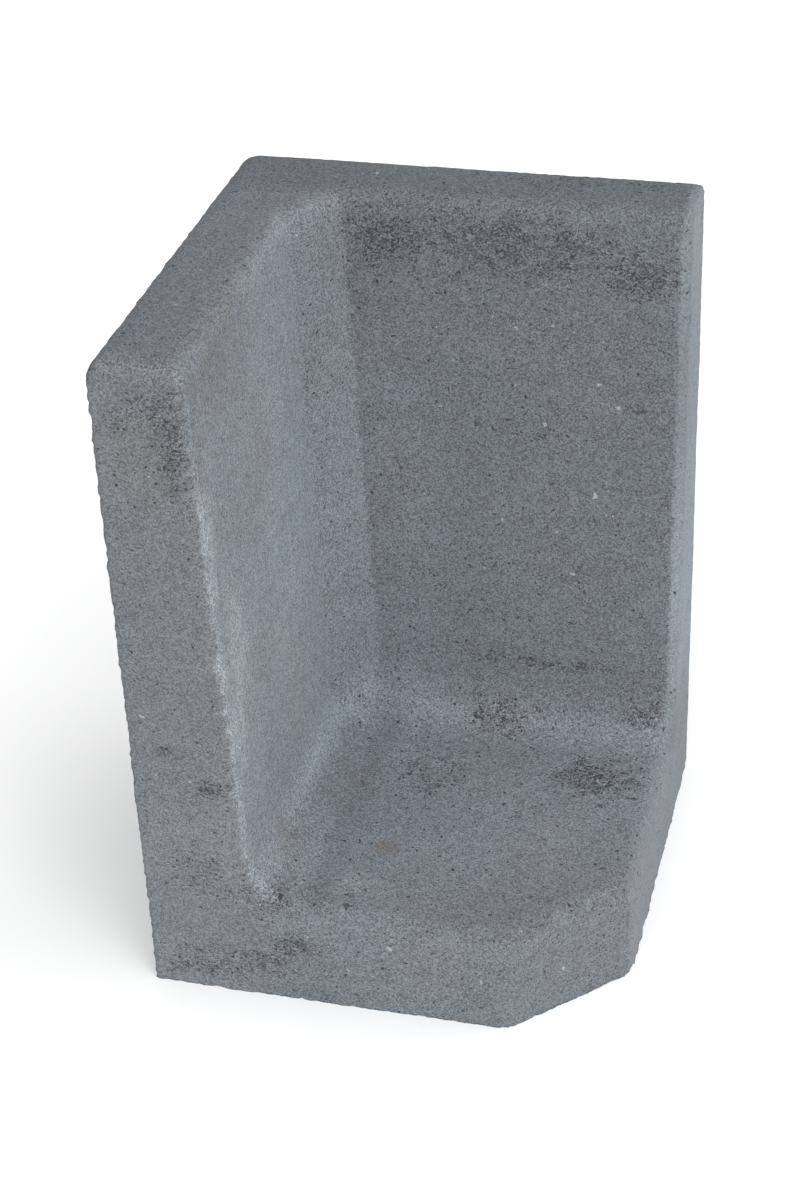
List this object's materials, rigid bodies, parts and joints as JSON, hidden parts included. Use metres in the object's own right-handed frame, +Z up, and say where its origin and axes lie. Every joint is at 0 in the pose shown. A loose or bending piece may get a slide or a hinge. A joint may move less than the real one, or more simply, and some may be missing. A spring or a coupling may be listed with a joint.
{
  "type": "corner retaining wall element",
  "caption": "Precast concrete L-section corner element that holds back soil: two tapered upright walls on a foot slab with a cut corner, with a steel cage cast in.",
  "frame": {"origin": "centre of the square plan on the underside of the foot", "axes": "+Z up; the back wall stands on the +Y side and the side wall on the -X side; the foot reaches to the open corner at +X, -Y"},
  "size_m": [0.4, 0.4, 0.6],
  "materials": {
    "concrete": "dry-cast, rough, blue-grey",
    "bar_steel": "mill scale with light rust",
    "tie_steel": "black annealed",
    "fibre_concrete": "pressed, light grey"
  },
  "bodies": {
    "root": {"concrete_body": "concrete", "back_wall_bar_1": "bar_steel", "back_wall_bar_2": "bar_steel", "back_wall_bar_3": "bar_steel", "side_wall_bar_1": "bar_steel", "side_wall_bar_2": "bar_steel", "side_wall_bar_3": "bar_steel", "corner_bar_1": "bar_steel", "corner_bar_2": "bar_steel", "corner_bar_3": "bar_steel", "corner_bar_4": "bar_steel", "tie_wire_01": "tie_steel", "tie_wire_02": "tie_steel", "tie_wire_03": "tie_steel", "tie_wire_04": "tie_steel", "tie_wire_05": "tie_steel", "tie_wire_06": "tie_steel", "tie_wire_07": "tie_steel", "tie_wire_08": "tie_steel", "tie_wire_09": "tie_steel", "tie_wire_10": "tie_steel", "tie_wire_11": "tie_steel", "tie_wire_12": "tie_steel", "spacer_1": "fibre_concrete", "spacer_2": "fibre_concrete", "spacer_3": "fibre_concrete", "spacer_4": "fibre_concrete", "spacer_5": "fibre_concrete", "spacer_6": "fibre_concrete", "spacer_7": "fibre_concrete", "spacer_8": "fibre_concrete"}
  },
  "joints": []
}
